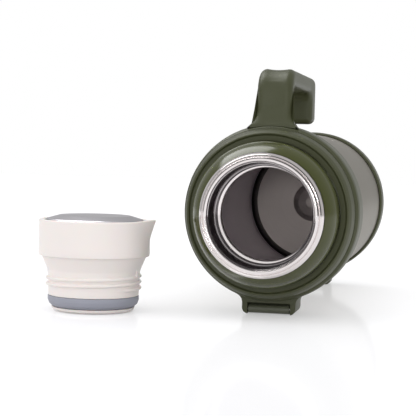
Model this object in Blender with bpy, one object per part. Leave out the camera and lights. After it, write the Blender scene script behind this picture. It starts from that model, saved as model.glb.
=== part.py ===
"""A steel vacuum flask lying on its two strap lugs, with its push-button pouring stopper beside it.

The flask is drawn standing in its own frame, +Z from base to mouth and +Y towards the handle, and the
empty flask_frame lays it down with its mouth towards -Y. The stopper is drawn standing, as it rests.
Outlines of turned pieces are (radius, height) points. All sizes are in metres.
"""

import math

import bmesh
import bpy
from mathutils import Matrix

MM = 0.001
GAP = 0.3 * MM                  # clearance kept between pieces that touch
SEGMENTS = 32                   # sides of a large turned piece
SMALL_SEGMENTS = 20             # sides of a small turned piece

# Flask
FLASK_HEIGHT = 228 * MM
BODY_R = 45.5 * MM              # outside of the steel shell
SHELL_T = 0.5 * MM
BOTTLE_R = 41.1 * MM            # inside of the inner bottle
LINER_RIM_H = 2 * MM            # height of the liner's end cap, from the floor to its weld
LINER_SHOULDER_Z = 178 * MM
THROAT_R = 25.3 * MM            # inside of the neck, where the stopper's seal sits
THROAT_LOW_Z = 199.5 * MM
NECK_THREAD_R = 26.5 * MM       # root of the neck's inside thread
LIP_R = 33.0 * MM
LIP_CREST_R = 29.8 * MM
LIP_EDGE_Z = 223 * MM
SHELL_NECK_R = 30.6 * MM
SHELL_SHOULDER_Z = 174 * MM     # where the shell starts to narrow
SHELL_NECK_Z = 201 * MM         # where it reaches the neck
BAND_R = 48.4 * MM              # handle band
BAND_LOW_Z = 170 * MM
BAND_TOP_Z = 195 * MM
BASE_RING_R = 47.4 * MM
BASE_RING_TOP_Z = 18 * MM
BOTTLE_FLOOR_Z = 14.4 * MM
REST_REACH = 55.55 * MM         # from the flask's axis down to what it lies on

# Handle
HANDLE_HALF_W = 9.8 * MM
HANDLE_TOP_Y = 79.3 * MM        # outside of the grip
GRIP_T = 10 * MM
ARM_FRONT_Z = 191 * MM
ARM_T = 8 * MM
LEG_LOW_Z = 89 * MM
LEG_T = 17 * MM
LEG_END_Y = 51 * MM
EDGE_ROUND = 2.4 * MM

# Strap lug, its roller and pin
LUG_HALF_W = 14.8 * MM
LUG_LOW_Z = 170.6 * MM
LUG_TOP_Z = 191.5 * MM
LUG_SLOT_HALF_W = 11.9 * MM
LUG_SLOT_CEILING_Y = 49.3 * MM
LUG_SLOT_DEPTH = 12 * MM
ROLLER_R = 2.4 * MM
ROLLER_Y = REST_REACH - ROLLER_R - GAP
ROLLER_Z = LUG_TOP_Z - ROLLER_R - 0.5 * MM
PIN_R = 1.0 * MM
PIN_HALF_L = 13.4 * MM

# Strap loop on the base ring
LOOP_HALF_W = 13.7 * MM
LOOP_HOLE_HALF_W = 9.2 * MM
LOOP_BAR_T = 3.5 * MM
LOOP_LOW_Z = 3 * MM
LOOP_TOP_Z = 16 * MM

# Stopper
STOPPER_R = 30.4 * MM
STOPPER_HEIGHT = 49.7 * MM      # up to the rim, without the button
STOPPER_CUP_R = 28 * MM         # inside of the rim
SPOUT_TIP_R = 34.7 * MM
SPOUT_LOW_Z = 33 * MM
PLUG_R = 25.2 * MM              # the part that goes into the neck
PLUG_WALL = 2.8 * MM
THREAD_PITCH = 3.2 * MM
THREAD_CREST_R = 26.1 * MM
SEAL_R = 25.3 * MM
SEAL_SEAT_R = 20.2 * MM
VALVE_PORT_R = 9.5 * MM
GUIDE_R = 8.6 * MM
GUIDE_BORE_R = 7.3 * MM
GUIDE_FLOOR_Z = 22 * MM
STEM_R = 2.2 * MM
BUTTON_R = 26.7 * MM
BUTTON_TOP_Z = 52 * MM
SPRING_R = 5.3 * MM
SPRING_WIRE_R = 0.45 * MM
SPRING_TURNS = 6

# The flask and the stopper side by side, with the whole group centred over the origin
STOPPER_SIDE = 94.7 * MM        # from the flask's axis to the stopper's
STOPPER_BEHIND_CREST = 19.4 * MM
FLASK_X = (STOPPER_SIDE + STOPPER_R - BAND_R) / 2
FLASK_Y = (FLASK_HEIGHT + STOPPER_R - STOPPER_BEHIND_CREST) / 2
STOPPER_PLACE = (FLASK_X - STOPPER_SIDE, FLASK_Y - FLASK_HEIGHT + STOPPER_BEHIND_CREST, 0)

for old in list(bpy.data.objects):
    bpy.data.objects.remove(old, do_unlink=True)


# --- Tools for the shapes -----------------------------------------------------------------------------

def material(name, colour, roughness, metallic=0.0):
    """A Principled material from a linear colour."""
    made = bpy.data.materials.new(name)
    made.use_nodes = True
    shader = made.node_tree.nodes["Principled BSDF"]
    shader.inputs["Base Color"].default_value = (*colour, 1)
    shader.inputs["Roughness"].default_value = roughness
    shader.inputs["Metallic"].default_value = metallic
    made.diffuse_color = (*colour, 1)
    return made


def arc(centre, radius, start, end, steps):
    """Points along a round stretch, from angle start to angle end in degrees."""
    points = []
    for step in range(steps + 1):
        angle = math.radians(start + (end - start) * step / steps)
        points.append((centre[0] + radius * math.cos(angle), centre[1] + radius * math.sin(angle)))
    return points


def mirrored(points):
    """The points, followed by the same points on the other side of the y axis, in turn."""
    return points + [(-x, y) for x, y in reversed(points)]


def turned(outline, segments=SEGMENTS):
    """A closed outline of (radius, height) points, turned about the z axis."""
    bm = bmesh.new()
    points = [bm.verts.new((radius, 0, height)) for radius, height in outline]
    edges = [bm.edges.new(pair) for pair in zip(points, points[1:])]
    if outline[0][0] > 0 or outline[-1][0] > 0:
        edges.append(bm.edges.new((points[-1], points[0])))
    bmesh.ops.spin(bm, geom=points + edges, cent=(0, 0, 0), axis=(0, 0, 1), angle=2 * math.pi,
                   steps=segments, use_merge=True)
    bmesh.ops.remove_doubles(bm, verts=bm.verts[:], dist=0.00001)
    return bm


def prism(outline, low, high):
    """A flat outline in x and y, drawn out along z."""
    bm = bmesh.new()
    face = bm.faces.new([bm.verts.new((x, y, low)) for x, y in outline])
    lifted = bmesh.ops.extrude_face_region(bm, geom=[face])["geom"]
    verts = [item for item in lifted if isinstance(item, bmesh.types.BMVert)]
    bmesh.ops.translate(bm, verts=verts, vec=(0, 0, high - low))
    return bm


def block(low, high):
    """A box between two corners."""
    return prism([(low[0], low[1]), (high[0], low[1]), (high[0], high[1]), (low[0], high[1])],
                 low[2], high[2])


def helical_ridge(inside_r, skin_r, crest_r, start_z, turns, width):
    """A screw thread's ridge, as a closed strip that runs out into the wall at both ends."""
    bm = bmesh.new()
    steps = round(turns * SEGMENTS)
    runout = SEGMENTS / 8
    sections = []
    for step in range(steps + 1):
        angle = 2 * math.pi * step / SEGMENTS
        z = start_z + THREAD_PITCH * step / SEGMENTS
        rise = min(1, step / runout, (steps - step) / runout)
        buried = skin_r + 0.35 * (inside_r - skin_r)
        top_r = buried + (crest_r - buried) * rise
        corners = [(inside_r, z - width / 2), (top_r, z - width / 5),
                   (top_r, z + width / 5), (inside_r, z + width / 2)]
        sections.append([bm.verts.new((r * math.cos(angle), r * math.sin(angle), h)) for r, h in corners])
    for lower, upper in zip(sections, sections[1:]):
        for side in range(4):
            following = (side + 1) % 4
            bm.faces.new((lower[side], lower[following], upper[following], upper[side]))
    bm.faces.new(sections[0])
    bm.faces.new(sections[-1])
    return bm


def add(name, bm, finish=None, parent=None, place=None):
    """Turn a bmesh into an object, smooth on its round faces."""
    if place is not None:
        bmesh.ops.transform(bm, matrix=place, verts=bm.verts[:])
    bmesh.ops.recalc_face_normals(bm, faces=bm.faces[:])
    mesh = bpy.data.meshes.new(name)
    bm.to_mesh(mesh)
    bm.free()
    mesh.shade_smooth()
    mesh.set_sharp_from_angle(angle=math.radians(32))
    made = bpy.data.objects.new(name, mesh)
    bpy.context.collection.objects.link(made)
    made.parent = parent
    if finish is None:
        made.hide_render = True
        made.display_type = "WIRE"
    else:
        mesh.materials.append(finish)
    return made


def combine(piece, tool, operation):
    """Join a helper shape to a piece, or cut it away."""
    boolean = piece.modifiers.new(tool.name, "BOOLEAN")
    boolean.operation = operation
    boolean.object = tool


def frame(name, place, turn=(0, 0, 0)):
    """An empty that carries one assembly."""
    made = bpy.data.objects.new(name, None)
    bpy.context.collection.objects.link(made)
    made.location = place
    made.rotation_euler = turn
    return made


# --- Materials ----------------------------------------------------------------------------------------

satin_steel = material("satin_steel", (0.36, 0.33, 0.30), 0.35, 1)
bright_steel = material("bright_steel", (0.60, 0.59, 0.58), 0.12, 1)
blasted_steel = material("blasted_steel", (0.33, 0.31, 0.30), 0.45, 1)
copper_foil = material("copper_foil", (0.80, 0.42, 0.26), 0.25, 1)
getter_alloy = material("getter_alloy", (0.18, 0.17, 0.16), 0.7, 1)
solder_glass = material("solder_glass", (0.10, 0.09, 0.08), 0.2)
matte_green = material("matte_green", (0.085, 0.095, 0.055), 0.55)
gloss_green = material("gloss_green", (0.055, 0.065, 0.022), 0.12)
cream = material("cream", (0.84, 0.79, 0.75), 0.35)
white_inner = material("white_inner", (0.80, 0.78, 0.74), 0.45)
grey_silicone = material("grey_silicone", (0.33, 0.35, 0.40), 0.6)
button_silver = material("button_silver", (0.48, 0.47, 0.49), 0.3, 0.8)

flask = frame("flask_frame", (FLASK_X, FLASK_Y, REST_REACH), (math.pi / 2, 0, 0))
stopper = frame("stopper_frame", STOPPER_PLACE)
strap_axis = frame("strap_axis", (0, -ROLLER_Y, ROLLER_Z))
strap_axis.parent = flask
ACROSS = Matrix.Rotation(math.pi / 2, 4, "Y")      # lays a turned piece's axis along x


# --- Steel vacuum bottle ------------------------------------------------------------------------------

def shoulder(side_r, low_z, neck_r, high_z, steps=5):
    """A quarter of an ellipse from a straight side in to a neck."""
    return [(neck_r + (side_r - neck_r) * math.cos(angle), low_z + (high_z - low_z) * math.sin(angle))
            for angle in (math.pi / 2 * step / steps for step in range(steps + 1))]


def make_inner_bottle():
    """The liner's wall and shoulder."""
    wall_low = BOTTLE_FLOOR_Z + LINER_RIM_H + GAP
    inside = [(BOTTLE_R, wall_low)] + shoulder(BOTTLE_R, LINER_SHOULDER_Z, THROAT_R, THROAT_LOW_Z - GAP)
    outside = [(BOTTLE_R + SHELL_T, wall_low)]
    outside += shoulder(BOTTLE_R + SHELL_T, LINER_SHOULDER_Z, THROAT_R + SHELL_T, THROAT_LOW_Z - GAP)
    add("inner_bottle", turned(inside + outside[::-1]), blasted_steel, flask)


def make_bottle_neck():
    """The liner's throat, its threaded neck and the rolled lip that closes the vacuum jacket."""
    throat_top = 204.5 * MM
    thread_low = 206.5 * MM
    thread_top = 219 * MM
    inside = [(THROAT_R, THROAT_LOW_Z), (THROAT_R, throat_top), (NECK_THREAD_R, thread_low),
              (NECK_THREAD_R, thread_top)]
    lip = [(28.3 * MM, LIP_EDGE_Z - 2.5 * MM), (28.6 * MM, 226.5 * MM), (LIP_CREST_R, FLASK_HEIGHT),
           (31.5 * MM, 227.3 * MM), (32.6 * MM, 225.5 * MM), (LIP_R, LIP_EDGE_Z), (32.4 * MM, 222.2 * MM),
           (28.9 * MM, 222 * MM), (28.8 * MM, 220.2 * MM)]
    outside = [(NECK_THREAD_R + SHELL_T, thread_top - GAP), (NECK_THREAD_R + SHELL_T, thread_low),
               (THROAT_R + SHELL_T, throat_top), (THROAT_R + SHELL_T, THROAT_LOW_Z)]
    neck = add("bottle_neck", turned(inside + lip + outside), blasted_steel, flask)
    ridge = helical_ridge(NECK_THREAD_R + SHELL_T / 2, NECK_THREAD_R, 25.6 * MM, 209 * MM, 2.1, 2 * MM)
    combine(neck, add("neck_thread_ridge", ridge, None, flask), "UNION")


def make_inner_bottom():
    """The liner's end, with a rounded corner and its round centre pushed up."""
    floor_z = BOTTLE_FLOOR_Z
    rim_z = BOTTLE_FLOOR_Z + LINER_RIM_H
    inside = [(0, floor_z + 1.6 * MM), (12.8 * MM, floor_z), (39.4 * MM, floor_z),
              (40.6 * MM, floor_z + 0.7 * MM), (BOTTLE_R, rim_z)]
    outside = [(BOTTLE_R + SHELL_T, rim_z), (41.2 * MM, floor_z + 0.2 * MM), (39.6 * MM, floor_z - SHELL_T),
               (12.8 * MM, floor_z - SHELL_T), (0, floor_z + 1.1 * MM)]
    add("inner_bottom", turned(inside + outside), blasted_steel, flask)


def make_outer_shell():
    """The outer steel body, from the base ring up to the neck under the lip."""
    low = 2.6 * MM
    neck_top = 221.7 * MM
    outside = [(BODY_R, low)]
    outside += shoulder(BODY_R, SHELL_SHOULDER_Z, SHELL_NECK_R, SHELL_NECK_Z)
    outside += [(SHELL_NECK_R, neck_top)]
    inside = [(SHELL_NECK_R - SHELL_T, neck_top)]
    inside += reversed(shoulder(BODY_R - SHELL_T, SHELL_SHOULDER_Z, SHELL_NECK_R - SHELL_T,
                                SHELL_NECK_Z - SHELL_T))
    inside += [(BODY_R - SHELL_T, low)]
    add("outer_shell", turned(outside + inside), satin_steel, flask)


def make_outer_bottom():
    """The pressed steel cap welded into the shell's foot, with the pump-out dimple in its centre."""
    flange_r = BODY_R - SHELL_T - GAP
    top = [(0, 10.6 * MM), (6 * MM, 10.6 * MM), (8 * MM, 9.4 * MM), (42 * MM, 9.4 * MM), (flange_r, 7 * MM)]
    under = [(flange_r, 2.7 * MM), (flange_r - SHELL_T, 2.7 * MM), (flange_r - SHELL_T, 6.7 * MM)]
    under += [(41.6 * MM, 8.7 * MM), (7.6 * MM, 8.7 * MM), (5.4 * MM, 9.9 * MM), (0, 9.9 * MM)]
    add("outer_bottom", turned(top + under), satin_steel, flask)
    bead = [(0, 9.5 * MM), (4.6 * MM, 9.4 * MM), (4.2 * MM, 8.3 * MM), (0, 7.9 * MM)]
    add("evacuation_seal", turned(bead, SMALL_SEGMENTS), solder_glass, flask)


def make_jacket_contents():
    """What the vacuum holds: the foil round the liner, and the getter under it."""
    foil_r = BOTTLE_R + SHELL_T + GAP
    foil_t = 0.3 * MM
    foil = [(foil_r, 24 * MM), (foil_r + foil_t, 24 * MM), (foil_r + foil_t, 172 * MM), (foil_r, 172 * MM)]
    add("radiation_foil", turned(foil), copper_foil, flask)
    pill_top = BOTTLE_FLOOR_Z - SHELL_T - GAP
    pill = [(0, pill_top), (4 * MM, pill_top), (4 * MM, pill_top - 2 * MM), (0, pill_top - 2 * MM)]
    beside = Matrix.Translation((24 * MM, 0, 0))
    add("getter_pill", turned(pill, SMALL_SEGMENTS), getter_alloy, flask, beside)


make_inner_bottle()
make_bottle_neck()
make_inner_bottom()
make_outer_shell()
make_outer_bottom()
make_jacket_contents()


# --- Plastic rings round the neck ---------------------------------------------------------------------

def make_neck_ring():
    """The glossy ring between the lip and the shoulder ring, clipped under the shoulder ring."""
    wall_r = 39 * MM
    inside_r = 36.8 * MM
    face = [(LIP_R + GAP, 222.4 * MM), (35.6 * MM, 220.6 * MM), (37.6 * MM, 217.4 * MM),
            (38.7 * MM, 214.2 * MM), (wall_r, 213.2 * MM)]
    clip = [(wall_r, 202.3 * MM), (41.8 * MM, 202.3 * MM), (41.8 * MM, 200.8 * MM), (inside_r, 200.8 * MM)]
    inside = [(inside_r, 211.5 * MM), (35.2 * MM, 216.5 * MM), (33 * MM, 219.2 * MM),
              (31.2 * MM, 220.4 * MM), (31.2 * MM, 220.9 * MM), (LIP_R + GAP, 220.9 * MM)]
    add("neck_ring", turned(face + clip + inside), gloss_green, flask)
    packing = [(31.2 * MM, 221.2 * MM), (LIP_R, 221.2 * MM), (LIP_R, 221.9 * MM), (31.2 * MM, 221.7 * MM)]
    add("neck_packing", turned(packing), grey_silicone, flask)


def make_shoulder_ring():
    """The matte ring in front of the handle band, with a raised ridge round its face."""
    inside_r = 39.3 * MM
    outside = [(45.6 * MM, BAND_TOP_Z + GAP), (45.6 * MM, 196 * MM), (46.2 * MM, 196.6 * MM),
               (46 * MM, 199.4 * MM), (45 * MM, 203.2 * MM), (43.7 * MM, 205.7 * MM),
               (43 * MM, 206 * MM), (42.3 * MM, 205 * MM), (inside_r, 205 * MM)]
    inside = [(inside_r, 202.6 * MM), (42.4 * MM, 202.6 * MM), (43.7 * MM, 200 * MM),
              (44.7 * MM, BAND_TOP_Z + GAP)]
    add("shoulder_ring", turned(outside + inside), matte_green, flask)


make_neck_ring()
make_shoulder_ring()


# --- Handle band: ring, handle and strap lug in one moulding ------------------------------------------

def root_outline(half_w, fillet_r, ring_r, end_y):
    """Half of a front outline that leaves a ring tangentially and runs straight out to end_y."""
    centre_x = half_w + fillet_r
    reach = ring_r + fillet_r
    centre_y = math.sqrt(reach ** 2 - centre_x ** 2)
    leave_angle = math.degrees(math.atan2(-centre_y, -centre_x))
    sweep = arc((centre_x, centre_y), fillet_r, leave_angle + 360, 180, 5)
    return sweep + [(half_w, end_y)]


def inside_wall(half_angle, wall_r):
    """Half of the edge that stays buried in a ring's wall, from its middle outwards."""
    return [(x, y) for y, x in arc((0, 0), wall_r, 0, half_angle, 3)][1:]


def make_handle(band):
    """The C-shaped handle: a front arm, a straight grip and a rear leg with a free end."""
    grip_in = HANDLE_TOP_Y - GRIP_T
    arm_back_z = ARM_FRONT_Z - ARM_T
    leg_top_z = LEG_LOW_Z + LEG_T
    buried_y = 46.7 * MM
    front_r = 14 * MM
    rear_r = 6 * MM
    tip_r = 4 * MM
    outline = [(buried_y, ARM_FRONT_Z)]
    outline += arc((HANDLE_TOP_Y - front_r, ARM_FRONT_Z - front_r), front_r, 90, 0, 6)
    outline += arc((HANDLE_TOP_Y - rear_r, LEG_LOW_Z + rear_r), rear_r, 0, -90, 4)
    outline += arc((LEG_END_Y + tip_r, LEG_LOW_Z + tip_r), tip_r, 270, 180, 3)
    outline += arc((LEG_END_Y + tip_r, leg_top_z - tip_r), tip_r, 180, 90, 3)
    outline += arc((grip_in - rear_r, leg_top_z + rear_r), rear_r, -90, 0, 4)
    outline += arc((grip_in - tip_r * 2, arm_back_z - tip_r * 2), tip_r * 2, 0, 90, 4)
    outline += [(buried_y, arm_back_z)]
    bm = prism(outline, -HANDLE_HALF_W, HANDLE_HALF_W)
    rim = [edge for edge in bm.edges
           if abs(edge.verts[0].co.z - edge.verts[1].co.z) < GAP
           and max(vert.co.x for vert in edge.verts) > buried_y + GAP]
    bmesh.ops.bevel(bm, geom=rim, offset=EDGE_ROUND, offset_type="OFFSET", segments=2, profile=0.5,
                    affect="EDGES")
    upright = Matrix(((0, 0, 1, 0), (1, 0, 0, 0), (0, 1, 0, 0), (0, 0, 0, 1)))
    combine(band, add("handle_bow", bm, None, flask, upright), "UNION")
    flare = root_outline(HANDLE_HALF_W - EDGE_ROUND / 4, 9 * MM, BAND_R, 60 * MM)
    root = mirrored(inside_wall(18, 47 * MM) + flare)
    foot = prism(root, arm_back_z + 0.4 * MM, ARM_FRONT_Z - 0.4 * MM)
    combine(band, add("handle_root", foot, None, flask), "UNION")


def make_strap_lug(band):
    """The lug opposite the handle, with a pocket for the roller and blind holes for its pin."""
    corner_r = 3.4 * MM
    flare = root_outline(LUG_HALF_W, 5 * MM, BAND_R, REST_REACH - corner_r)
    flare += arc((LUG_HALF_W - corner_r, REST_REACH - corner_r), corner_r, 0, 90, 4)[1:]
    outline = [(x, -y) for x, y in mirrored(inside_wall(20, 47 * MM) + flare)]
    combine(band, add("lug_block", prism(outline, LUG_LOW_Z, LUG_TOP_Z), None, flask), "UNION")
    pocket = block((-LUG_SLOT_HALF_W, -REST_REACH - 2 * MM, LUG_TOP_Z - LUG_SLOT_DEPTH),
                   (LUG_SLOT_HALF_W, -LUG_SLOT_CEILING_Y, LUG_TOP_Z + 5 * MM))
    combine(band, add("lug_pocket", pocket, None, flask), "DIFFERENCE")
    hole_r = PIN_R + GAP
    hole_half_l = PIN_HALF_L + GAP
    hole = turned([(0, -hole_half_l), (hole_r, -hole_half_l), (hole_r, hole_half_l), (0, hole_half_l)], 16)
    combine(band, add("pin_holes", hole, None, strap_axis, ACROSS), "DIFFERENCE")


def make_handle_band():
    """The band that grips the shell's shoulder and carries the handle and the strap lug."""
    inside_r = BODY_R + GAP
    outside = [(inside_r, BAND_LOW_Z), (47.6 * MM, BAND_LOW_Z), (48.1 * MM, 171 * MM), (BAND_R, 173 * MM),
               (BAND_R, 191 * MM), (47.8 * MM, 193.6 * MM), (46.6 * MM, BAND_TOP_Z)]
    inside = [(44.6 * MM, BAND_TOP_Z), (44.6 * MM, 189 * MM), (inside_r, 184 * MM)]
    band = add("handle_band", turned(outside + inside), matte_green, flask)
    make_handle(band)
    make_strap_lug(band)


def make_strap_roller():
    """The roller that a strap turns round, on its steel pin."""
    bore_r = PIN_R + GAP
    half_l = LUG_SLOT_HALF_W - 0.4 * MM
    roller = [(bore_r, -half_l), (ROLLER_R, -half_l), (ROLLER_R, half_l), (bore_r, half_l)]
    add("strap_roller", turned(roller, 20), matte_green, strap_axis, ACROSS)
    pin = [(0, -PIN_HALF_L), (PIN_R, -PIN_HALF_L), (PIN_R, PIN_HALF_L), (0, PIN_HALF_L)]
    add("strap_pin", turned(pin, 16), bright_steel, strap_axis, ACROSS)


make_handle_band()
make_strap_roller()


# --- Base ---------------------------------------------------------------------------------------------

def make_base_ring():
    """The ring round the foot, with the lower strap loop that the flask also lies on."""
    inside_r = BODY_R + GAP
    flange_r = 41 * MM
    outline = [(flange_r, 0), (45 * MM, 0), (46.7 * MM, 0.7 * MM), (BASE_RING_R, 2.6 * MM),
               (BASE_RING_R, 16.2 * MM), (47 * MM, 17.5 * MM), (46.4 * MM, BASE_RING_TOP_Z),
               (inside_r, BASE_RING_TOP_Z), (inside_r, 2.3 * MM), (flange_r, 2.3 * MM)]
    ring = add("base_ring", turned(outline), matte_green, flask)
    corner_r = 3 * MM
    flare = root_outline(LOOP_HALF_W, 3 * MM, BASE_RING_R, REST_REACH - corner_r)
    flare += arc((LOOP_HALF_W - corner_r, REST_REACH - corner_r), corner_r, 0, 90, 4)[1:]
    outline = [(x, -y) for x, y in mirrored(inside_wall(18, 46.7 * MM) + flare)]
    loop = add("loop_block", prism(outline, LOOP_LOW_Z, LOOP_TOP_Z), None, flask)
    hole = block((-LOOP_HOLE_HALF_W, -REST_REACH + LOOP_BAR_T, LOOP_LOW_Z - 5 * MM),
                 (LOOP_HOLE_HALF_W, -BODY_R + 5 * MM, LOOP_TOP_Z + 5 * MM))
    combine(loop, add("loop_hole", hole, None, flask), "DIFFERENCE")
    combine(ring, loop, "UNION")


def make_base_cover():
    """The plate that closes the foot inside the base ring."""
    edge_r = 41 * MM - GAP
    plate = [(0, 1.2 * MM), (34 * MM, 1.2 * MM), (36 * MM, 0.3 * MM), (edge_r, 0.3 * MM),
             (edge_r, 2.3 * MM), (0, 2.3 * MM)]
    add("base_cover", turned(plate), matte_green, flask)


make_base_ring()
make_base_cover()


# --- Stopper ------------------------------------------------------------------------------------------

def pull_spout(bm):
    """Draw the cup's wall out on the +X side into a beak whose sides are straight from above."""
    rise = STOPPER_HEIGHT - SPOUT_LOW_Z
    for vert in bm.verts:
        if vert.co.z <= SPOUT_LOW_Z or vert.co.xy.length < STOPPER_CUP_R - GAP:
            continue
        height = min(1, (vert.co.z - SPOUT_LOW_Z) / rise)
        tip_r = STOPPER_R + (SPOUT_TIP_R - STOPPER_R) * height ** 1.7
        spread = math.acos(STOPPER_R / tip_r)
        angle = abs(math.atan2(vert.co.y, vert.co.x))
        if angle < spread:
            vert.co.xy /= math.cos(spread - angle)


def make_stopper_body():
    """The cup with its beak, the threaded plug below it, and the guide that holds the valve's spring."""
    floor_low = 9.6 * MM
    floor_top = 11.6 * MM
    skirt_low = 2.5 * MM
    cup = [(28.4 * MM, STOPPER_HEIGHT), (30 * MM, STOPPER_HEIGHT), (STOPPER_R, 49.2 * MM),
           (STOPPER_R, 44 * MM), (STOPPER_R, 38.5 * MM), (STOPPER_R, 32 * MM), (29.8 * MM, 30.5 * MM),
           (28.3 * MM, 29.8 * MM)]
    plug = [(26.4 * MM, 26 * MM), (25.5 * MM, 22.5 * MM), (PLUG_R, 20 * MM),
            (PLUG_R, 8.3 * MM + GAP), (SEAL_SEAT_R, 8.3 * MM + GAP), (SEAL_SEAT_R, skirt_low)]
    under = [(18.4 * MM, skirt_low), (18.4 * MM, floor_low), (VALVE_PORT_R, floor_low),
             (VALVE_PORT_R, floor_top)]
    bore_r = PLUG_R - PLUG_WALL
    inside = [(bore_r, floor_top), (bore_r, 24 * MM), (24.6 * MM, 28.8 * MM), (STOPPER_CUP_R, SPOUT_LOW_Z),
              (STOPPER_CUP_R, 38.5 * MM), (STOPPER_CUP_R, 44 * MM), (STOPPER_CUP_R, 49.2 * MM)]
    bm = turned(cup + plug + under + inside)
    pull_spout(bm)
    body = add("stopper_body", bm, cream, stopper)
    ridge = helical_ridge(PLUG_R - 1 * MM, PLUG_R, THREAD_CREST_R, 12.8 * MM, 2.1, 2 * MM)
    combine(body, add("plug_thread_ridge", ridge, None, stopper), "UNION")
    make_guide(body, floor_top, bore_r)


def make_guide(body, floor_top, bore_r):
    """The spring's cup on the stopper's axis, held by three ribs that let the drink past."""
    stem_hole_r = STEM_R + GAP
    seal_pocket_r = 5.8 * MM
    guide = [(GUIDE_R, 17 * MM), (GUIDE_R, 36 * MM), (GUIDE_BORE_R, 36 * MM), (GUIDE_BORE_R, GUIDE_FLOOR_Z),
             (stem_hole_r, GUIDE_FLOOR_Z), (stem_hole_r, 20 * MM), (seal_pocket_r, 20 * MM),
             (seal_pocket_r, 17 * MM)]
    combine(body, add("spring_guide", turned(guide, SMALL_SEGMENTS), None, stopper), "UNION")
    for number in range(3):
        rib = block((GUIDE_R - 0.6 * MM, -1 * MM, floor_top - 0.5 * MM),
                    (bore_r + 0.8 * MM, 1 * MM, GUIDE_FLOOR_Z - 1 * MM))
        turn = Matrix.Rotation(math.radians(60 + 120 * number), 4, "Z")
        combine(body, add(f"guide_rib_{number + 1}", rib, None, stopper, turn), "UNION")
    ring = [(stem_hole_r, 18 * MM), (seal_pocket_r - GAP, 18 * MM), (seal_pocket_r - GAP, 19.7 * MM),
            (stem_hole_r, 19.7 * MM)]
    add("stem_seal", turned(ring, SMALL_SEGMENTS), grey_silicone, stopper)


def make_plug_seal():
    """The silicone ring that seals the throat, and the ring that holds it on."""
    inside_r = SEAL_SEAT_R + GAP
    seal = [(inside_r, 2.5 * MM), (23 * MM, 2.5 * MM), (24.6 * MM, 4 * MM), (SEAL_R, 6.2 * MM),
            (SEAL_R, 7.9 * MM), (24.9 * MM, 8.3 * MM), (inside_r, 8.3 * MM)]
    add("plug_seal", turned(seal), grey_silicone, stopper)
    holder = [(18.4 * MM, 0), (21 * MM, 0), (22.5 * MM, 0.8 * MM), (22.8 * MM, 2.2 * MM),
              (18.4 * MM, 2.2 * MM)]
    add("seal_holder", turned(holder), cream, stopper)


def make_button():
    """The metal-faced button, its moulded base, and the latch ring that it turns at each push."""
    skin = [(0, BUTTON_TOP_Z), (19.8 * MM, BUTTON_TOP_Z), (20.6 * MM, 51.8 * MM), (BUTTON_R, 49.8 * MM),
            (BUTTON_R, 49.1 * MM), (25.8 * MM, 49.1 * MM), (19.6 * MM, 50.9 * MM), (0, 50.9 * MM)]
    add("button_cap", turned(skin), button_silver, stopper)
    top = [(0, 50.5 * MM), (19.4 * MM, 50.5 * MM), (25.3 * MM, 48.7 * MM), (25.3 * MM, 47.4 * MM)]
    skirt = [(13.4 * MM, 47.4 * MM), (13.4 * MM, 30 * MM), (10.8 * MM, 30 * MM), (10.8 * MM, 31.2 * MM),
             (12 * MM, 31.2 * MM), (12 * MM, 47.4 * MM)]
    boss = [(4.2 * MM, 47.4 * MM), (4.2 * MM, 42 * MM), (STEM_R + GAP, 42 * MM), (STEM_R + GAP, 47.4 * MM),
            (0, 47.4 * MM)]
    add("button_base", turned(top + skirt + boss, SEGMENTS), white_inner, stopper)
    latch_low = 31.5 * MM
    latch = add("latch_ring", turned([(9.2 * MM, latch_low), (11.6 * MM, latch_low), (11.6 * MM, 35 * MM),
                                      (9.2 * MM, 35 * MM)], SMALL_SEGMENTS), white_inner, stopper)
    for number in range(4):
        tooth = prism([(0, 34.5 * MM), (4 * MM, 34.5 * MM), (4 * MM, 37 * MM)], 9.5 * MM, 10.8 * MM)
        upright = Matrix(((0, 0, 1, 0), (1, 0, 0, 0), (0, 1, 0, 0), (0, 0, 0, 1)))
        turn = Matrix.Rotation(math.radians(90 * number), 4, "Z") @ upright
        combine(latch, add(f"latch_tooth_{number + 1}", tooth, None, stopper, turn), "UNION")


def make_valve():
    """The stem that the button pushes, and the valve disc with its gasket under the plug's floor."""
    stem_low = 7.7 * MM
    stem_top = 47.1 * MM
    stem = [(0, stem_low), (STEM_R, stem_low), (STEM_R, stem_top), (0, stem_top)]
    add("valve_stem", turned(stem, 16), bright_steel, stopper)
    socket_r = STEM_R + GAP
    disc = [(0, 5.2 * MM), (12.9 * MM, 5.2 * MM), (12.9 * MM, 7.4 * MM), (4.2 * MM, 7.4 * MM),
            (4.2 * MM, 13 * MM), (socket_r, 13 * MM), (socket_r, 7.4 * MM), (0, 7.4 * MM)]
    add("valve_disc", turned(disc, SMALL_SEGMENTS), white_inner, stopper)
    gasket = [(8.6 * MM, 7.7 * MM), (12.9 * MM, 7.7 * MM), (12.6 * MM, 9.3 * MM), (8.6 * MM, 9.3 * MM)]
    add("valve_gasket", turned(gasket, SMALL_SEGMENTS), grey_silicone, stopper)


def make_spring():
    """The coil spring that lifts the button and closes the valve."""
    low = GUIDE_FLOOR_Z + GAP + SPRING_WIRE_R
    high = 47.1 * MM - SPRING_WIRE_R
    steps_per_turn = 12
    steps = SPRING_TURNS * steps_per_turn
    curve = bpy.data.curves.new("return_spring", "CURVE")
    curve.dimensions = "3D"
    curve.bevel_depth = SPRING_WIRE_R
    curve.bevel_resolution = 1
    curve.use_fill_caps = True
    line = curve.splines.new("POLY")
    line.points.add(steps)
    for step, point in enumerate(line.points):
        angle = 2 * math.pi * step / steps_per_turn
        z = low + (high - low) * step / steps
        point.co = (SPRING_R * math.cos(angle), SPRING_R * math.sin(angle), z, 1)
    curve.materials.append(bright_steel)
    spring = bpy.data.objects.new("return_spring", curve)
    bpy.context.collection.objects.link(spring)
    spring.parent = stopper


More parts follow.
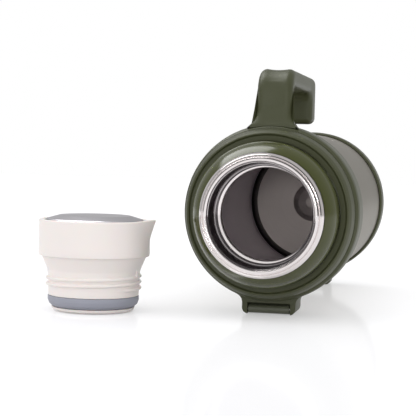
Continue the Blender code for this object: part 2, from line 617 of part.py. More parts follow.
make_stopper_body()
make_plug_seal()
make_button()
make_valve()
make_spring()
bpy.context.view_layer.update()
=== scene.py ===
import math

import bmesh
import bpy
from mathutils import Matrix, Vector
from mathutils.geometry import tessellate_polygon


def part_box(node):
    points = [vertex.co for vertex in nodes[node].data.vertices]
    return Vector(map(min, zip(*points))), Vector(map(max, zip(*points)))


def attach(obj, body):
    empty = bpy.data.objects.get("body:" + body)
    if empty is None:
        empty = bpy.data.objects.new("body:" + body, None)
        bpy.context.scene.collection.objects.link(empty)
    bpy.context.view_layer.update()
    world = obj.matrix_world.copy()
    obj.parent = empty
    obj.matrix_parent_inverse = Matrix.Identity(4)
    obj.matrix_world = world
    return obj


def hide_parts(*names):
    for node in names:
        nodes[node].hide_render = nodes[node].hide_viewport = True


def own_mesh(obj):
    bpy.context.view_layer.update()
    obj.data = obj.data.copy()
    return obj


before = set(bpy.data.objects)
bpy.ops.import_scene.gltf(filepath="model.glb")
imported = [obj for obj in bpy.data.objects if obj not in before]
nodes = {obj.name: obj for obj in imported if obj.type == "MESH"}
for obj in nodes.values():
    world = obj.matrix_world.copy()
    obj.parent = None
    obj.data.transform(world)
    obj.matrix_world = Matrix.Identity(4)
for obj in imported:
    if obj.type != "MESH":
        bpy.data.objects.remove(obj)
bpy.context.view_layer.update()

MM = 0.001

# --- Where the flask and the stopper are ---
# The flask lies on two lugs with its mouth towards -Y, and the stopper stands to its left on its
# own foot. Flask pieces are drawn standing, +Z from base to mouth and +Y towards the handle, and
# laid down by LAID. Stopper pieces are drawn round their own axis, and put in place by STOOD.
shell_low, shell_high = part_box("outer_shell")
FLASK_X = (shell_low.x + shell_high.x) / 2
FLASK_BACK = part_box("base_ring")[1].y
FLASK_H = (shell_low.z + shell_high.z) / 2
LAID = Matrix.Translation((FLASK_X, FLASK_BACK, FLASK_H)) @ Matrix.Rotation(math.pi / 2, 4, "X")
seal_low, seal_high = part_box("plug_seal")
STOPPER_X = (seal_low.x + seal_high.x) / 2
STOPPER_Y = (seal_low.y + seal_high.y) / 2
STOOD = Matrix.Translation((STOPPER_X, STOPPER_Y, 0))

# --- Camera ---
# A long lens nine centimetres above the table, turned twelve degrees to the left of straight
# ahead. It looks down by two and a half degrees, so the table shows as a thin foreground.
EYE_RIGHT, EYE_FROM_BASE, EYE_HEIGHT = 110.6 * MM, 883.3 * MM, 88.7 * MM
EYE_TURN, EYE_DIP, EYE_ROLL = (math.radians(a) for a in (11.9, 2.55, 1.4))
eye = bpy.data.cameras.new("eye")
eye.lens = 111.1
eye.sensor_width = 36
eye.clip_start = 0.05
eye.clip_end = 20
eye_holder = bpy.data.objects.new("eye", eye)
bpy.context.collection.objects.link(eye_holder)
eye_holder.matrix_world = (
    Matrix.Translation((FLASK_X + EYE_RIGHT, FLASK_BACK - EYE_FROM_BASE, EYE_HEIGHT))
    @ Matrix.Rotation(EYE_TURN, 4, "Z") @ Matrix.Rotation(math.pi / 2 - EYE_DIP, 4, "X")
    @ Matrix.Rotation(EYE_ROLL, 4, "Z"))
bpy.context.scene.camera = eye_holder


# --- Steel body ---
# The outer shell is a drawn stainless tube, 91 mm across, with a fine satin finish that runs round
# it. Its shoulder goes in under the handle band, and its foot into the base ring. A welded cap of
# the same steel closes it inside the foot.

def linear(*srgb):
    """An sRGB colour, given in 0 to 255, as the linear values that a shader takes."""
    return tuple(v / 255 / 12.92 if v <= 10 else ((v / 255 + 0.055) / 1.055) ** 2.4
                 for v in srgb) + (1,)


def effect(name, inputs):
    """An empty node group that gives a finish's colour, roughness and height, and its two ends."""
    group = bpy.data.node_groups.new(name, "ShaderNodeTree")
    for label, kind, value in inputs:
        socket = group.interface.new_socket(label, in_out="INPUT", socket_type=kind)
        socket.default_value = value
    for label, kind in (("Colour", "NodeSocketColor"), ("Roughness", "NodeSocketFloat"),
                        ("Height", "NodeSocketFloat")):
        group.interface.new_socket(label, in_out="OUTPUT", socket_type=kind)
    return group, group.nodes.new("NodeGroupInput"), group.nodes.new("NodeGroupOutput")


def node(tree, kind, **sockets):
    """A node with some of its inputs set, or linked where the value is another node's output."""
    made = tree.nodes.new(kind)
    for label, value in sockets.items():
        key = int(label[1:]) if label[0] == "i" and label[1:].isdigit() else label.replace("_", " ")
        if isinstance(value, bpy.types.NodeSocket):
            tree.links.new(value, made.inputs[key])
        else:
            made.inputs[key].default_value = value
    return made


def math_node(tree, operation, first, second=0.0):
    """One arithmetic step on two values."""
    made = node(tree, "ShaderNodeMath", i0=first, i1=second)
    made.operation = operation
    return made.outputs[0]


def swing(tree, noise, amount):
    """How far a noise is from its middle, times an amount."""
    return math_node(tree, "MULTIPLY", math_node(tree, "SUBTRACT", noise.outputs[0], 0.5), amount)


def close_effect(group, given, result, tone, rougher, relief):
    """Lead out a finish: its colour times one plus tone, its roughness plus rougher, its relief."""
    shade = node(group, "ShaderNodeVectorMath", i0=given.outputs["Colour"])
    shade.operation = "SCALE"
    group.links.new(math_node(group, "ADD", tone, 1), shade.inputs["Scale"])
    group.links.new(shade.outputs[0], result.inputs["Colour"])
    group.links.new(math_node(group, "ADD", given.outputs["Roughness"], rougher),
                    result.inputs["Roughness"])
    group.links.new(relief.outputs[0], result.inputs["Height"])


# Satin: fine scratches that run round the axis, with slow changes of tone. Its noise is fine along
# the axis and out from it, and long round it.
satin, satin_in, satin_out = effect(
    "satin_finish",
    [("Colour", "NodeSocketColor", (0.4, 0.4, 0.4, 1)), ("Streaks", "NodeSocketFloat", 0.06),
     ("Roughness", "NodeSocketFloat", 0.3), ("Spacing", "NodeSocketFloat", 4000.0)])
place = satin.nodes.new("ShaderNodeTexCoord").outputs["Object"]
split = node(satin, "ShaderNodeSeparateXYZ", Vector=place)
radius = math_node(satin, "SQRT", math_node(
    satin, "ADD", math_node(satin, "MULTIPLY", split.outputs["X"], split.outputs["X"]),
    math_node(satin, "MULTIPLY", split.outputs["Y"], split.outputs["Y"])))
level = node(
    satin, "ShaderNodeCombineXYZ",
    X=math_node(satin, "MULTIPLY", split.outputs["Z"], satin_in.outputs["Spacing"]),
    Y=math_node(satin, "MULTIPLY", radius, satin_in.outputs["Spacing"]),
    Z=math_node(satin, "MULTIPLY", split.outputs["X"], 60))
streak = node(satin, "ShaderNodeTexNoise", Vector=level.outputs[0], Scale=1.0, Detail=3.0)
cloud = node(satin, "ShaderNodeTexNoise", Vector=place, Scale=28.0, Detail=2.0)
lift = swing(satin, streak, satin_in.outputs["Streaks"])
drift = swing(satin, cloud, 0.10)
close_effect(satin, satin_in, satin_out, math_node(satin, "ADD", lift, drift),
             math_node(satin, "ADD", lift, math_node(satin, "MULTIPLY", drift, 0.5)), streak)


def principled(material, **values):
    """Set inputs of a material's Principled shader."""
    shader = material.node_tree.nodes["Principled BSDF"]
    for label, value in values.items():
        shader.inputs[label.replace("_", " ")].default_value = value


def finished(name, group, strength, depth, **settings):
    """A material that takes its colour, roughness and fine relief from a finish."""
    made = bpy.data.materials.new(name)
    made.use_nodes = True
    tree = made.node_tree
    finish = tree.nodes.new("ShaderNodeGroup")
    finish.node_tree = group
    for label, value in settings.items():
        finish.inputs[label].default_value = value
    bump = node(tree, "ShaderNodeBump", Strength=strength, Distance=depth,
                Height=finish.outputs["Height"])
    shader = tree.nodes["Principled BSDF"]
    tree.links.new(finish.outputs["Colour"], shader.inputs["Base Color"])
    tree.links.new(finish.outputs["Roughness"], shader.inputs["Roughness"])
    tree.links.new(bump.outputs[0], shader.inputs["Normal"])
    return made


def satin_metal(name, colour, roughness, streaks, depth, spacing, edge=1.0, metallic=1.0):
    """A metal with fine scratches round its axis; edge is how bright it stays seen edge-on."""
    made = finished(name, satin, strength=0.25, depth=depth, Colour=colour, Streaks=streaks,
                    Roughness=roughness, Spacing=spacing)
    principled(made, Metallic=metallic, Specular_Tint=(edge, edge, edge, 1))
    return made


def dress(name, finish):
    """Give a node that keeps its CAD shape its material."""
    nodes[name].data.materials.clear()
    nodes[name].data.materials.append(finish)


def arc(centre, radius, start, end, steps):
    """Points along a round stretch, from angle start to angle end in degrees."""
    return [(centre[0] + radius * math.cos(math.radians(start + (end - start) * i / steps)),
             centre[1] + radius * math.sin(math.radians(start + (end - start) * i / steps)))
            for i in range(steps + 1)]


def softened(corners, closed=True, steps=5):
    """An outline of (a, b, fillet radius) corners in mm as (a, b) points in metres, rounded."""
    points = []
    count = len(corners)
    for number, (a, b, fillet) in enumerate(corners):
        here = Vector((a, b)) * MM
        if fillet == 0 or (not closed and number in (0, count - 1)):
            points.append(tuple(here))
            continue
        back = Vector(corners[number - 1][:2]) * MM - here
        ahead = Vector(corners[(number + 1) % count][:2]) * MM - here
        turn = back.angle(ahead)
        # A fillet takes a little less than half of either side
        reach = min(fillet * MM / math.tan(turn / 2), 0.49 * back.length, 0.49 * ahead.length)
        real = reach * math.tan(turn / 2)
        first = here + back.normalized() * reach
        last = here + ahead.normalized() * reach
        inward = (back.normalized() + ahead.normalized()).normalized()
        middle = here + inward * (real / math.sin(turn / 2))
        sweep = (first - middle).angle_signed(last - middle)
        for step in range(steps + 1):
            spoke = (first - middle).copy()
            spoke.rotate(Matrix.Rotation(-sweep * step / steps, 2))
            points.append(tuple(middle + spoke))
    return points


def turned(outline, segments=144, on_axis=1e-6):
    """An outline of (radius, height) points, turned about the z axis."""
    bm = bmesh.new()
    rows = []
    for radius, height in outline:
        if radius < on_axis:
            rows.append([bm.verts.new((0, 0, height))] * segments)
        else:
            rows.append([bm.verts.new((radius * math.cos(2 * math.pi * i / segments),
                                       radius * math.sin(2 * math.pi * i / segments), height))
                         for i in range(segments)])
    hollow = outline[0][0] > on_axis or outline[-1][0] > on_axis
    for low, high in zip(rows, rows[1:] + (rows[:1] if hollow else [])):
        for i in range(segments):
            j = (i + 1) % segments
            corners = list(dict.fromkeys((low[i], low[j], high[j], high[i])))
            if len(corners) > 2:
                bm.faces.new(corners)
    return bm


def piece(name, bm, body, place, finish, slot, *stands_for, crease=38):
    """Turn a bmesh into a piece that rides on a body, smooth on its round faces."""
    bmesh.ops.recalc_face_normals(bm, faces=bm.faces[:])
    mesh = bpy.data.meshes.new(name)
    bm.to_mesh(mesh)
    bm.free()
    mesh.shade_smooth()
    mesh.set_sharp_from_angle(angle=math.radians(crease))
    mesh.materials.append(finish)
    made = bpy.data.objects.new(name, mesh)
    bpy.context.collection.objects.link(made)
    made.matrix_world = place
    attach(made, body)
    if stands_for:
        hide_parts(*stands_for)
    return made


def shoulder(side_r, low_z, neck_r, high_z, steps=24):
    """A quarter of an ellipse from a straight side in to a neck, as corners with no fillet."""
    return [(neck_r + (side_r - neck_r) * math.cos(math.pi / 2 * i / steps),
             low_z + (high_z - low_z) * math.sin(math.pi / 2 * i / steps), 0)
            for i in range(steps + 1)]


body_satin = satin_metal("body_satin", linear(172, 167, 157), roughness=0.36, streaks=0.10,
                         depth=0.00002, spacing=2600.0, edge=0.45)
outside = [(45.5, 2.6, 0)] + shoulder(45.5, 174, 30.6, 201) + [(30.6, 221.7, 0)]
inside = [(30.1, 221.7, 0)] + shoulder(45, 174, 30.1, 200.5)[::-1] + [(45, 2.6, 0)]
piece("body_shell", turned(softened(outside + inside)), "flask", LAID, body_satin, "body_steel",
      "outer_shell")
dress("outer_bottom", body_satin)


# --- Liner: lip, threaded neck and throat ---
# The inner bottle's mouth is steel: a polished lip, rolled over with a fine step round its outer
# side, a duller wall with one rolled thread, its steel painted darker as painted shade, and a round
# bead at the throat where the seal sits.

def sleeve(bm, rings):
    """Faces between each ring of vertices and the next."""
    for low, high in zip(rings, rings[1:]):
        for i in range(len(low)):
            j = (i + 1) % len(low)
            bm.faces.new((low[i], low[j], high[j], high[i]))


def thread_ridge(inside_r, skin_r, crest_r, start_z, turns, width, pitch=3.2, per_turn=96,
                 run_out=9, across=9, sunk=0.2, roundness=0.55):
    """A screw thread's round ridge, which runs out into the wall at both ends; sizes in mm."""
    bm = bmesh.new()
    count = round(turns * per_turn)
    rings = []
    for step in range(count + 1):
        angle = 2 * math.pi * step / per_turn
        rise = min(1, step / run_out, (count - step) / run_out)
        rise = rise * rise * (3 - 2 * rise)
        top = skin_r + sunk * (inside_r - skin_r) * (1 - rise) + (crest_r - skin_r) * rise
        ring = []
        for i in range(across):
            t = -1 + 2 * i / (across - 1)
            bulge = 0 if abs(t) == 1 else math.cos(t * math.pi / 2) ** roundness
            r = inside_r + (top - inside_r) * bulge
            z = start_z + pitch * step / per_turn + t * width / 2
            ring.append(bm.verts.new((r * MM * math.cos(angle), r * MM * math.sin(angle), z * MM)))
        rings.append(ring)
    sleeve(bm, rings)
    bm.faces.new(rings[0])
    bm.faces.new(rings[-1])
    return bm


def part_finish(made, finish, chosen):
    """Give a piece a second material, on the faces whose centre is chosen."""
    made.data.materials.append(finish)
    for face in made.data.polygons:
        if chosen(face.center):
            face.material_index = 1


mirror_steel = satin_metal("mirror_steel", linear(226, 220, 219), roughness=0.10, streaks=0.02,
                           depth=0.0000003, spacing=600.0)
# Duller steel for the threaded wall: rougher and more streaked, and its colour painted darker as
# painted shade
neck_steel_shaded = satin_metal("neck_steel_shaded", linear(150, 145, 146), roughness=0.18, streaks=0.40,
                          depth=0.00003, spacing=1100.0)
lip_outer = [(33, 222.6, 0.5), (33, 224.6, 1.2), (32.0, 226.3, 0.8), (31.2, 226.9, 0.15),
             (30.9, 226.3, 0.12), (30.6, 227.3, 0.35), (29.6, 228, 1.0), (28.6, 227.5, 0.7),
             (28.2, 226.4, 0.2), (27.9, 226.2, 0.1), (27.9, 225.2, 0.6)]
lead_in = [(26.9, 213, 6), (26.8, 207.6, 0.2), (26.7, 206.6, 0.3), (24.9, 206.0, 0.9),
           (24.9, 202.8, 0.9), (25.9, 201.6, 0.4)]
throat = [(26.4, 199.2, 1), (27.4, 198.4, 1), (27.8, 198.8, 0.2), (26.9, 199.8, 0.6),
          (26.4, 201.8, 0.4), (25.9, 204.6, 0.6), (27.3, 206.8, 0.3), (27.4, 213.2, 3),
          (28.9, 222, 0.2), (32.4, 222.1, 0.4)]
WALL_R, WALL_LOW, WALL_HIGH = 27.8 * MM, 207 * MM, 225 * MM
mouth = piece("bottle_mouth", turned(softened(lip_outer + lead_in + throat), 192), "flask", LAID,
              mirror_steel, "liner_steel", "bottle_neck")
# The wall inside the lip gets the duller steel with its painted shade
part_finish(mouth, neck_steel_shaded,
            lambda centre: centre.xy.length < WALL_R and WALL_LOW < centre.z < WALL_HIGH)
piece("mouth_thread", thread_ridge(27.2, 26.7, 26.0, start_z=208.4, turns=2.1, width=1.9), "flask",
      LAID, neck_steel_shaded, "liner_steel")


# --- Liner: wall ---
# A straight satin tube that ends in a shoulder under the neck. It hangs in the vacuum from its
# lip, and touches the outer shell nowhere else.
liner_satin = satin_metal("liner_satin", linear(240, 233, 240), roughness=0.42, streaks=0.10,
                          depth=0.00002, spacing=2000.0, metallic=0.6)
liner_in = shoulder(41.1, 178, 25.9, 199.6)[::-1] + [(41.1, 19, 0)]
liner_out = [(41.6, 19, 0)] + shoulder(41.6, 178, 26.4, 200)
piece("bottle_wall", turned(softened(liner_in + liner_out)), "flask", LAID, liner_satin,
      "liner_steel", "inner_bottle")


# --- Liner: bottom ---
# A pressed steel cap welded to the wall. Its rounded corner is painted dark all round as painted
# shade, and the cap's round centre is pushed up.
bottom_satin = satin_metal("bottom_satin", linear(168, 160, 155), roughness=0.38, streaks=0.14,
                           depth=0.00002, spacing=1500.0, metallic=0.6)
# Painted shade: a dark steel colour for the rounded corner where the bottom meets the wall
corner_shade = satin_metal("corner_shade", linear(70, 66, 64), roughness=0.5, streaks=0.2,
                        depth=0.00003, spacing=1500.0)
cap_in = [(0, 17.4, 0), (4, 17.2, 6), (9.4, 16.0, 6), (12.8, 14.4, 1.4), (38.2, 14.4, 2.2),
          (40.9, 15.4, 2.5), (41.1, 18.7, 0)]
cap_out = [(41.6, 18.7, 0), (41.4, 15, 2.8), (38.4, 13.9, 2.4), (12.6, 13.9, 1), (9.2, 15.5, 6),
           (4, 16.7, 6), (0, 16.9, 0)]
CORNER_SHADE_R = 37.6 * MM
bottle_end = piece("bottle_end", turned(softened(cap_in + cap_out, closed=False)), "flask", LAID,
                   bottom_satin, "liner_steel", "inner_bottom")
# Faces out beyond this radius, round the corner, get the painted shade
part_finish(bottle_end, corner_shade, lambda centre: centre.xy.length > CORNER_SHADE_R)


# --- What the vacuum holds ---
# Copper foil is wrapped round the liner, and a sintered getter sits under it. A fused bead in the
# outer bottom closes the jacket after it is pumped out.
dress("radiation_foil", satin_metal("foil", linear(216, 142, 104), roughness=0.28, streaks=0.2,
                                    depth=0.0001, spacing=300.0))
dress("getter_pill", satin_metal("sinter", linear(96, 94, 92), roughness=0.75, streaks=0.3,
                                 depth=0.0001, spacing=900.0))
dress("evacuation_seal", satin_metal("fused_glass", linear(52, 50, 48), roughness=0.2, streaks=0.1,
                                     depth=0.00001, spacing=500.0, metallic=0.0))


# --- Glossy neck ring ---
# Polished olive plastic round the lip: a convex face with a fine double bead at its edge, and a
# small round gate mark on its left side. A silicone packing under the lip seals it to the steel.

# Moulded: slow colour drift and a fine even grain, for every plastic and rubber piece
moulded, moulded_in, moulded_out = effect(
    "moulded_finish",
    [("Colour", "NodeSocketColor", (0.5, 0.5, 0.5, 1)), ("Drift", "NodeSocketFloat", 0.05),
     ("Roughness", "NodeSocketFloat", 0.5), ("Grain", "NodeSocketFloat", 3000.0)])
place = moulded.nodes.new("ShaderNodeTexCoord").outputs["Object"]
flow = node(moulded, "ShaderNodeTexNoise", Vector=place, Scale=35.0, Detail=3.0)
pores = node(moulded, "ShaderNodeTexNoise", Vector=place, Detail=2.0,
             Scale=moulded_in.outputs["Grain"])
change = swing(moulded, flow, moulded_in.outputs["Drift"])
close_effect(moulded, moulded_in, moulded_out, change,
             math_node(moulded, "MULTIPLY", change, 0.8), pores)


def plastic(name, colour, roughness, drift, grain, depth, strength):
    """A moulded plastic or rubber, with its grain in the normal."""
    return finished(name, moulded, strength=strength, depth=depth, Colour=colour, Drift=drift,
                    Roughness=roughness, Grain=grain)


gloss_olive = plastic("gloss_olive", linear(63, 67, 28), roughness=0.19, drift=0.05, grain=400.0,
                      depth=0.000004, strength=0.05)
principled(gloss_olive, IOR=1.5)
ring_face = [(r, z, 0) for r, z in arc((22.2, 209.3), 17.1, 50, 18, 16)]
ring_face += [(38.7, 214.4, 0.1), (38.85, 214.3, 0.15), (39.0, 213.4, 0.2)]
ring_side = [(39, 202.3, 0), (41.8, 202.3, 0), (41.8, 200.8, 0), (36.8, 200.8, 0),
             (36.8, 211.5, 1), (35.2, 216.5, 2), (33, 219.2, 1), (31.2, 220.4, 0),
             (31.2, 220.9, 0), (33.2, 220.9, 0)]
piece("gloss_ring", turned(softened(ring_face + ring_side), 192), "flask", LAID, gloss_olive,
      "gloss_green", "neck_ring")

# The gate mark sits in the ring's face: round the axis, out from it, and tipped with the face
GATE_ROUND, GATE_TIP = math.radians(186), math.radians(58)
GATE_R, GATE_Z = 36.85 * MM, 218.35 * MM
gate = [(0, 0, 0), (1.0, 0, 0.1), (1.0, 0.12, 0.1), (0.8, 0.12, 0.1), (0.7, 0.04, 0),
        (0, 0.04, 0)]
gate_seat = (LAID @ Matrix.Rotation(GATE_ROUND, 4, "Z")
             @ Matrix.Translation((GATE_R, 0, GATE_Z)) @ Matrix.Rotation(GATE_TIP, 4, "Y"))
piece("gate_mark", turned(softened(gate, closed=False), 32), "flask", gate_seat, gloss_olive,
      "gloss_green")
silicone = plastic("silicone", linear(158, 160, 172), roughness=0.55, drift=0.05, grain=1800.0,
                   depth=0.00002, strength=0.25)
dress("neck_packing", silicone)


# --- Shoulder ring ---
# Matt olive plastic in front of the handle band, with a raised ridge round its flat face. It
# covers the gap between the band and the glossy ring.
matt_olive = plastic("matt_olive", linear(67, 70, 45), roughness=0.46, drift=0.06, grain=2600.0,
                     depth=0.00002, strength=0.15)
principled(matt_olive, Specular_IOR_Level=0.38)
ring_out = [(45.6, 195.3, 0), (45.6, 196.0, 0.2), (46.25, 196.7, 0.5), (46.1, 199.2, 3),
            (45.2, 203.2, 3), (44.0, 205.6, 0.8), (43.4, 206.1, 0.5), (42.8, 205.9, 0.4),
            (42.3, 205.0, 0.8), (39.3, 204.8, 0.3)]
ring_in = [(39.3, 202.6, 0), (42.4, 202.6, 0), (43.7, 200, 0), (44.7, 195.3, 0)]
piece("shoulder_face", turned(softened(ring_out + ring_in), 192), "flask", LAID, matt_olive,
      "matte_green", "shoulder_ring")


# --- Handle band ---
# A matt olive band grips the shell's shoulder. The handle and the strap lug are moulded on it, one
# above and one below.
BAND_R = 48.4
band_out = [(45.8, 170, 0), (47.5, 170, 0.4), (48.1, 170.9, 0.8), (BAND_R, 173, 1.5),
            (BAND_R, 191, 2.5), (47.9, 193.6, 1.5), (46.7, 195, 0.5)]
band_in = [(44.6, 195, 0), (44.6, 189, 0), (45.8, 184, 0)]
piece("carry_band", turned(softened(band_out + band_in), 192), "flask", LAID, matt_olive,
      "matte_green", "handle_band")


# --- Handle ---
# A C-shaped handle, whose rear end is free. Its arm flares into the band at its root, where it is
# flush with the band's front edge. The arm and the grip are dished on their outside.

def layered(outline, half_w, edge_r, layers=12, edge_steps=6):
    """An outline in x and y drawn out along z to both sides, with round rims."""
    count = len(outline)
    inward = []
    for i, here in enumerate(outline):
        back = (Vector(here) - Vector(outline[i - 1])).normalized()
        ahead = (Vector(outline[(i + 1) % count]) - Vector(here)).normalized()
        along = (back + ahead).normalized()
        normal = Vector((-along.y, along.x))
        inward.append(normal / max(0.5, normal.dot(Vector((-ahead.y, ahead.x)))))
    levels = [(edge_r * (1 - math.sin(a)), -half_w + edge_r * (1 - math.cos(a)))
              for a in (math.pi / 2 * i / edge_steps for i in range(edge_steps + 1))]
    flat = half_w - edge_r
    levels += [(0, -flat + 2 * flat * i / layers) for i in range(1, layers)]
    levels += [(inset, -z) for inset, z in reversed(levels[:edge_steps + 1])]
    bm = bmesh.new()
    rings = [[bm.verts.new((x + n.x * inset, y + n.y * inset, z))
              for (x, y), n in zip(outline, inward)] for inset, z in levels]
    sleeve(bm, rings)
    for ring in (rings[0], rings[-1]):
        for corners in tessellate_polygon([[vert.co for vert in ring]]):
            bm.faces.new([ring[i] for i in corners])
    return bm


def evenly(points, step):
    """The points of a closed outline with more between them, no further apart than step."""
    result = []
    for here, following in zip(points, points[1:] + points[:1]):
        run = Vector(following) - Vector(here)
        parts = max(1, math.ceil(run.length / step))
        result += [tuple(Vector(here) + run * i / parts) for i in range(parts)]
    return result


def twice_area(outline):
    """Twice the area in an outline, and above zero only if it runs anticlockwise."""
    return sum(a[0] * b[1] - b[0] * a[1] for a, b in zip(outline, outline[1:] + outline[:1]))


# Corners of the handle's side view: along the flask, out from its axis, and the fillet
bow = [(191, 46.9, 0), (191, 79.3, 14), (89, 79.3, 6), (89, 51, 4), (106, 51, 3.2),
       (106, 69.3, 6), (183, 69.3, 8), (183, 46.9, 0)]
bow_outline = evenly([(y, z) for z, y in softened(bow, steps=14)], 1.2 * MM)
if twice_area(bow_outline) < 0:
    bow_outline.reverse()
HALF_W, RIM_R = 9.8 * MM, 3.7 * MM
handle = layered(bow_outline, HALF_W, RIM_R)

# The dish: its depth, its share of the width, and where the grip's and the arm's outsides begin
DISH_DEPTH, DISH_SHARE = 0.55 * MM, 0.62
GRIP_OUT, ARM_OUT, ARM_BACK = 70 * MM, 58 * MM, 170 * MM

# The flare: a fillet between the arm's sides and the band, and the root's swell into the band
FLARE_R, ROOT_Y, FREE_END = 9 * MM, 46.9 * MM, 150 * MM
FLARE_Y = math.sqrt((BAND_R * MM + FLARE_R) ** 2 - (HALF_W + FLARE_R) ** 2)
FLARE_SWEEP = math.asin(FLARE_Y / (BAND_R * MM + FLARE_R))
SWELL, SINK = 2.2 * MM, 0.4 * MM

# The root's front comes forward to the band's edge
FRONT_FACE, FLUSH_Z, FLUSH_Y, FLUSH_RUN = 186.5 * MM, 194.4 * MM, 60 * MM, 12 * MM
handle.normal_update()
for vert in handle.verts:
    out, along, across = vert.co
    side = across / HALF_W
    dish = DISH_DEPTH * max(0, 1 - (side / DISH_SHARE) ** 2)
    if vert.normal.x > 0.5 and out > GRIP_OUT:
        out -= dish * vert.normal.x
    if vert.normal.y > 0.5 and along > ARM_BACK and out > ARM_OUT:
        along -= dish * vert.normal.y
    wider = 1
    if out < FLARE_Y and along > FREE_END:
        way = (FLARE_Y - out) / (FLARE_Y - ROOT_Y)
        wider = 1 + FLARE_R / HALF_W * (1 - math.cos(way * FLARE_SWEEP))
        out = (FLARE_Y - FLARE_R * math.sin(way * FLARE_SWEEP)
               + ((1 - side ** 2) * SWELL - SINK) * way)
    if along > FRONT_FACE and out < FLUSH_Y:
        near = min(1, (FLUSH_Y - out) / FLUSH_RUN)
        along += (FLUSH_Z - along) * near ** 2
    vert.co = (across * wider, out, along)
piece("carry_handle", handle, "flask", LAID, matt_olive, "matte_green", crease=60)


# --- Strap lug with its roller ---
# The lug is moulded on the band opposite the handle. A roller on a steel pin fills the front of
# its pocket, and the strap turns round it.

def carved(bm, tools, edge, name):
    """Cut boxes, given by their corners in mm, out of a shape, then round its sharp edges."""
    target = bpy.data.objects.new(name, bpy.data.meshes.new(name))
    bpy.context.collection.objects.link(target)
    bmesh.ops.recalc_face_normals(bm, faces=bm.faces[:])
    bm.to_mesh(target.data)
    bm.free()
    cutters = []
    for low, high in tools:
        box = bmesh.new()
        bmesh.ops.create_cube(box, size=1, matrix=Matrix.LocRotScale(
            (Vector(low) + Vector(high)) / 2 * MM, None, (Vector(high) - Vector(low)) * MM))
        cutter = bpy.data.objects.new("cutter", bpy.data.meshes.new("cutter"))
        box.to_mesh(cutter.data)
        box.free()
        bpy.context.collection.objects.link(cutter)
        cut = target.modifiers.new("cut", "BOOLEAN")
        cut.operation = "DIFFERENCE"
        cut.object = cutter
        cutters.append(cutter)
    rounding = target.modifiers.new("rounding", "BEVEL")
    rounding.width = edge
    rounding.segments = 4
    rounding.limit_method = "ANGLE"
    rounding.angle_limit = math.radians(40)
    bpy.context.view_layer.update()
    result = bmesh.new()
    result.from_object(target, bpy.context.evaluated_depsgraph_get())
    for helper in [target] + cutters:
        bpy.data.objects.remove(helper)
    return result


def prism(outline, low, high):
    """A flat outline in x and y, drawn out along z."""
    bm = bmesh.new()
    face = bm.faces.new([bm.verts.new((x, y, low)) for x, y in outline])
    lifted = bmesh.ops.extrude_face_region(bm, geom=[face])["geom"]
    bmesh.ops.translate(bm, verts=[v for v in lifted if isinstance(v, bmesh.types.BMVert)],
                        vec=(0, 0, high - low))
    return bm


def lug_outline(half_w, fillet, ring_r, wall_r, corner_r, reach=55.55):
    """A lug seen along the flask: it leaves its ring by a fillet and turns under; sizes in mm."""
    centre_x = half_w + fillet
    centre_y = math.sqrt((ring_r + fillet) ** 2 - centre_x ** 2)
    leave = 180 + math.degrees(math.atan2(centre_y, centre_x))
    half = [(wall_r * math.sin(math.radians(a)), wall_r * math.cos(math.radians(a)))
            for a in (4, 9, 14, 18)]
    half += arc((centre_x, centre_y), fillet, leave, 180, 12)
    half += arc((half_w - corner_r, reach - corner_r), corner_r, 0, 90, 10)
    return [(x * MM, -y * MM) for x, y in half + [(-x, y) for x, y in reversed(half)]]


LUG_EDGE = 0.5 * MM
lug_side = lug_outline(half_w=14.8, fillet=5, ring_r=BAND_R, wall_r=47, corner_r=3.4)
pocket = ((-11.9, -58, 179.5), (11.9, -49.3, 195))
lug = carved(prism(lug_side, 170.6 * MM, 191.5 * MM), [pocket], LUG_EDGE, "lug")
piece("strap_lug", lug, "flask", LAID, matt_olive, "matte_green", crease=50)

ROLLER_Y, ROLLER_Z = -52.85 * MM, 188.6 * MM
roller_seat = (LAID @ Matrix.Translation((0, ROLLER_Y, ROLLER_Z))
               @ Matrix.Rotation(math.pi / 2, 4, "Y"))
roller_olive = plastic("roller_olive", linear(84, 87, 70), roughness=0.38, drift=0.05,
                       grain=1800.0, depth=0.00002, strength=0.25)
roller = [(1.3, -11.5, 0), (2.4, -11.5, 0.3), (2.4, 11.5, 0.3), (1.3, 11.5, 0)]
piece("turning_roller", turned(softened(roller), 64), "roller", roller_seat, roller_olive,
      "matte_green", "strap_roller")
pin_steel = satin_metal("pin_steel", linear(214, 212, 210), roughness=0.16, streaks=0.05,
                        depth=0.000004, spacing=3000.0)
pin = [(0, -13.4, 0), (1, -13.4, 0.2), (1, 13.4, 0.2), (0, 13.4, 0)]
piece("roller_pin", turned(softened(pin, closed=False), 48), "flask", roller_seat, pin_steel,
      "bright_steel", "strap_pin")


# --- Base ring with its strap loop, and the plate inside it ---
# The foot is a matt olive ring that grips the shell, with a loop under it for the strap's lower
# end. A plate with a shallow round recess closes it.
FOOT_R = 47.4
foot_out = [(41, 0, 0.3), (45.2, 0, 1.2), (46.8, 0.8, 1.6), (FOOT_R, 2.8, 2), (FOOT_R, 16.2, 1),
            (47.0, 17.5, 0.6), (46.4, 18, 0.4)]
foot_in = [(45.8, 18, 0), (45.8, 2.3, 0), (41, 2.3, 0)]
piece("foot_ring", turned(softened(foot_out + foot_in), 192), "flask", LAID, matt_olive,
      "matte_green", "base_ring")
loop_side = lug_outline(half_w=13.7, fillet=3, ring_r=FOOT_R, wall_r=46.7, corner_r=3)
strap_hole = ((-9.2, -52.05, -2), (9.2, -40, 21))
loop = carved(prism(loop_side, 3 * MM, 16 * MM), [strap_hole], LUG_EDGE, "loop")
piece("strap_loop", loop, "flask", LAID, matt_olive, "matte_green", crease=50)
plate = [(0, 1.2, 0), (14, 1.2, 0.1), (14.3, 0.95, 0.1), (15.0, 0.95, 0.1), (15.3, 1.2, 0.1),
         (33.6, 1.2, 0.5), (35.2, 0.35, 0.5), (40.7, 0.3, 0.4), (40.7, 2.3, 0), (0, 2.3, 0)]
piece("foot_plate", turned(softened(plate, closed=False)), "flask", LAID, matt_olive,
      "matte_green", "base_cover")


